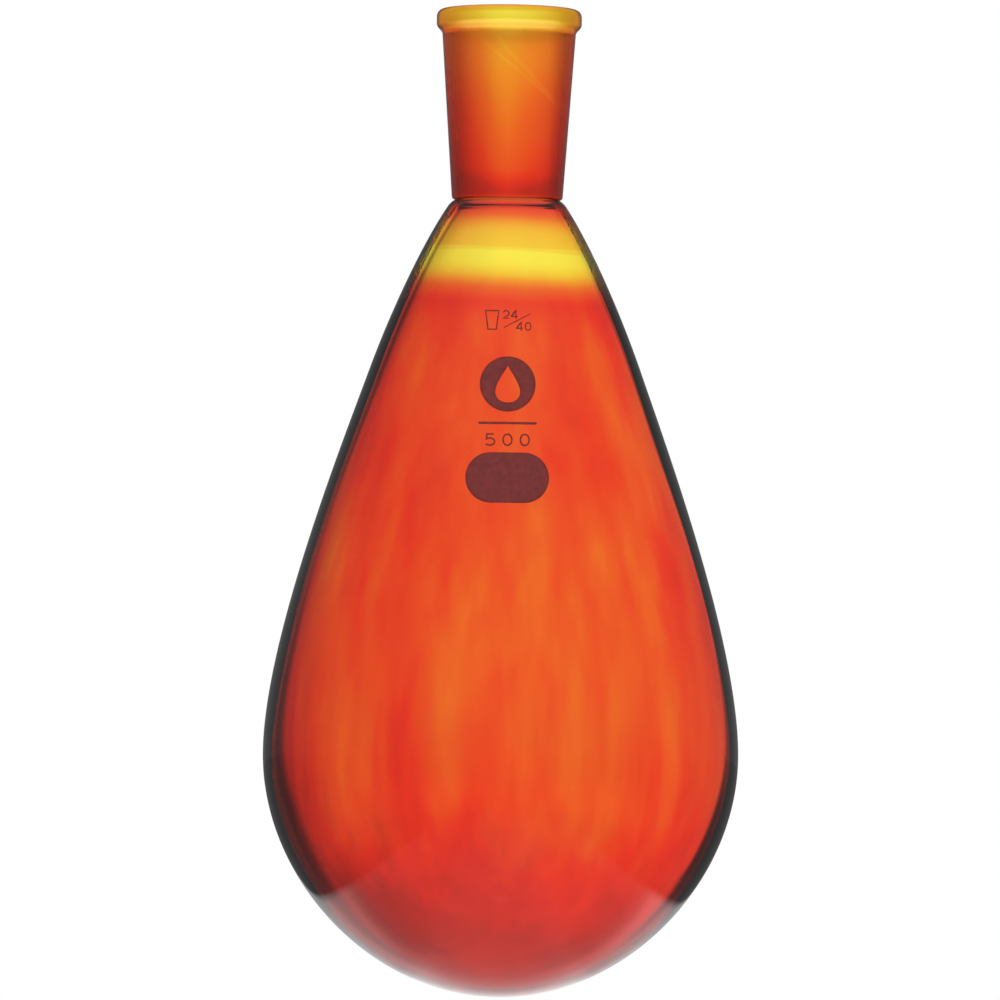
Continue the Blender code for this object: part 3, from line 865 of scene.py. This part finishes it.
def studio_world():
    """White to the camera; to light that comes through the glass, tall soft windows that narrow downwards and
    a table below them; a dim room to reflections; and even white light on what is matt."""
    world = bpy.data.worlds.new("studio")
    bpy.context.scene.world = world
    tree = Tree(world)
    towards = tree.add("ShaderNodeTexCoord").outputs["Generated"]
    x, y, z = tree.add("ShaderNodeSeparateXYZ", {0: towards}).outputs
    turn = tree.math("MULTIPLY", tree.math("ARCTAN2", x, y), 180.0 / math.pi)

    middle = tree.between(z, WINDOW_LOW, WINDOW_HIGH, WINDOW_TURN_LOW, WINDOW_TURN_HIGH, smooth=False)
    turn = tree.math("SUBTRACT", tree.math("ADD", turn, WINDOW_SPACING / 2), middle)
    off_centre = tree.math("SUBTRACT", tree.math("FLOORED_MODULO", turn, WINDOW_SPACING), WINDOW_SPACING / 2)
    half = tree.between(z, WINDOW_LOW, WINDOW_HIGH, WINDOW_HALF_LOW, WINDOW_HALF_HIGH, smooth=False)
    across = tree.between(
        tree.math("DIVIDE", off_centre, half), -WINDOW_REACH, WINDOW_REACH, smooth=False
    )
    stops = [((place + WINDOW_REACH) / (2 * WINDOW_REACH), level) for place, level in WINDOW_PROFILE]
    window = tree.ramp(across, stops)
    table = tree.between(z, TABLE_SEEN_TO, TABLE_SEEN_FROM, 1.0, 0.0)
    lit = tree.math("MAXIMUM", window, table)
    lit = tree.math("MAXIMUM", lit, tree.math("MULTIPLY", tree.ramp(z, HIGH_BAND), HIGH_BAND_GAIN))
    shade = tree.between(z, TABLE_SEEN_TO, 0.0, TABLE_SHADE, 1.0)
    through = tree.math("MULTIPLY", tree.math("MULTIPLY", lit, shade), BACKLIGHT - BETWEEN_WINDOWS)
    through = tree.math("ADD", through, BETWEEN_WINDOWS)
    level = tree.between(z, OVERHEAD_FROM, OVERHEAD_TO, ROOM_REFLECTION, OVERHEAD_REFLECTION)
    path = tree.add("ShaderNodeLightPath").outputs
    for flag, value in (
        ("Is Transmission Ray", through),
        ("Is Diffuse Ray", DIFFUSE_LIGHT),
        ("Is Camera Ray", 1.0),
    ):
        node = tree.add("ShaderNodeMix", {0: path[flag], 2: level, 3: value}, data_type="FLOAT")
        level = node.outputs[0]
    background = tree.add("ShaderNodeBackground", {"Color": WHITE, "Strength": level})
    tree.add("ShaderNodeOutputWorld", {"Surface": background.outputs[0]})


def glowing_white(name):
    """A lit white table, as white as the background."""
    made = bpy.data.materials.new(name)
    tree = Tree(made)
    glow = tree.add("ShaderNodeEmission", {"Color": WHITE, "Strength": 1.0})
    tree.add("ShaderNodeOutputMaterial", {"Surface": glow.outputs[0]})
    return made


def card_finish():
    """The white strip that the flask stands on, with soft sides, as the glass reflects it."""
    made = bpy.data.materials.new("card_white")
    tree = Tree(made)
    place = tree.add("ShaderNodeTexCoord").outputs["Object"]
    x, y, _ = tree.add("ShaderNodeSeparateXYZ", {0: place}).outputs
    half = tree.math("MULTIPLY_ADD", y, CARD_SPREAD, CARD_HALF)
    side = tree.between(tree.math("SUBTRACT", half, tree.math("ABSOLUTE", x)), -CARD_EDGE, CARD_EDGE)
    along = tree.between(y, CARD_FRONT, CARD_BACK, smooth=False)
    reach = CARD_BACK - CARD_FRONT
    stops = [((place - CARD_FRONT) / reach, level / CARD_GAIN) for place, level in CARD_LEVELS]
    lit = tree.math("MULTIPLY", tree.math("MULTIPLY", side, tree.ramp(along, stops)), CARD_GAIN)
    dim = tree.between(tree.math("ABSOLUTE", x), CARD_DIM_FROM, CARD_DIM_TO, 1.0, CARD_DIM)
    lit = tree.math("MULTIPLY", lit, dim)
    level = tree.math("MAXIMUM", lit, CARD_BESIDE)
    glow = tree.add("ShaderNodeEmission", {"Color": WHITE, "Strength": level})
    tree.add("ShaderNodeOutputMaterial", {"Surface": glow.outputs[0]})
    return made


def flat_piece(name, points, height, finish):
    mesh = bpy.data.meshes.new(name)
    mesh.from_pydata([(x, y, height) for x, y in points], [], [tuple(range(len(points)))])
    mesh.materials.append(finish)
    obj = bpy.data.objects.new(name, mesh)
    bpy.context.scene.collection.objects.link(obj)
    return obj


def studio_floor():
    """A pale floor, and the lit strip of it that shows in reflections."""
    low = cad_box[0][2] - FLOOR_GAP
    turns = [2 * math.pi * i / FLOOR_SIDES for i in range(FLOOR_SIDES)]
    ring = [(FLOOR_REACH * math.cos(a), FLOOR_REACH * math.sin(a)) for a in turns]
    floor = flat_piece("floor", ring, low, glowing_white("table_white"))
    floor.visible_glossy = False
    floor.visible_transmission = False
    strip = [(x * CARD_REACH, y * CARD_REACH) for x, y in ((-1, -1), (1, -1), (1, 1), (-1, 1))]
    card = flat_piece("floor_card", strip, low - FLOOR_GAP, card_finish())
    card.visible_camera = False
    card.visible_diffuse = False
    card.visible_transmission = False
    card.visible_shadow = False


def studio_camera():
    camera = bpy.data.cameras.new("camera")
    camera.lens = LENS
    camera.sensor_width = SENSOR
    camera.clip_start = NEAREST
    camera.clip_end = FARTHEST
    obj = bpy.data.objects.new("camera", camera)
    bpy.context.scene.collection.objects.link(obj)
    turn = math.radians(CAMERA_TURN)
    obj.location = (
        CAMERA_DISTANCE * math.sin(turn),
        -CAMERA_DISTANCE * math.cos(turn),
        CAMERA_HEIGHT,
    )
    aim = Vector(CAMERA_AIM) - obj.location
    facing = aim.to_track_quat("-Z", "Y").to_matrix().to_4x4()
    obj.rotation_euler = facing.to_euler()
    obj.rotation_euler.rotate_axis("Z", math.radians(CAMERA_ROLL))
    bpy.context.scene.camera = obj


def studio_settings():
    scene = bpy.context.scene
    scene.view_settings.view_transform = "Standard"
    scene.view_settings.look = "None"
    scene.cycles.max_bounces = BOUNCES
    scene.cycles.transmission_bounces = BOUNCES
    scene.cycles.glossy_bounces = GLOSSY_BOUNCES
    scene.cycles.transparent_max_bounces = BOUNCES


# ---------------------------------------------------------------- the object

bulb_glass = stained_glass("stain_and_painted_shade_on_bulb", *BULB_STAIN)
tube_glass = stained_glass("stain_and_painted_light_on_tube", *TUBE_STAIN_AND_PAINTED_LIGHT)
bead_glass = stained_glass("stain_and_painted_light_on_bead", *BEAD_STAIN_AND_PAINTED_LIGHT)
clear, ground, fused = clear_glass(), ground_glass(), fused_face()

outside, inside, lip = socket_outline()
bead_ends = 2 * BEAD_STEPS + 1
socket = turned(
    "glass_socket",
    [(outside[:bead_ends], 3), (outside[bead_ends:-1], 0), (outside[-1:], 2), (inside, 1), (lip, 3)],
    [tube_glass, ground, fused, bead_glass],
)
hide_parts("ground_socket")
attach(socket, "root")

outside, inside = bulb_outline()
bulb = turned(
    "glass_bulb",
    [(inside[:-1], 1), (inside[-1:], 2), (outside, 0)],
    [bulb_glass, clear, fused],
    wavy=(0,),
)
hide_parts("bulb")
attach(bulb, "root")

print_marks(fired_enamel())

studio_world()
studio_floor()
studio_camera()
studio_settings()
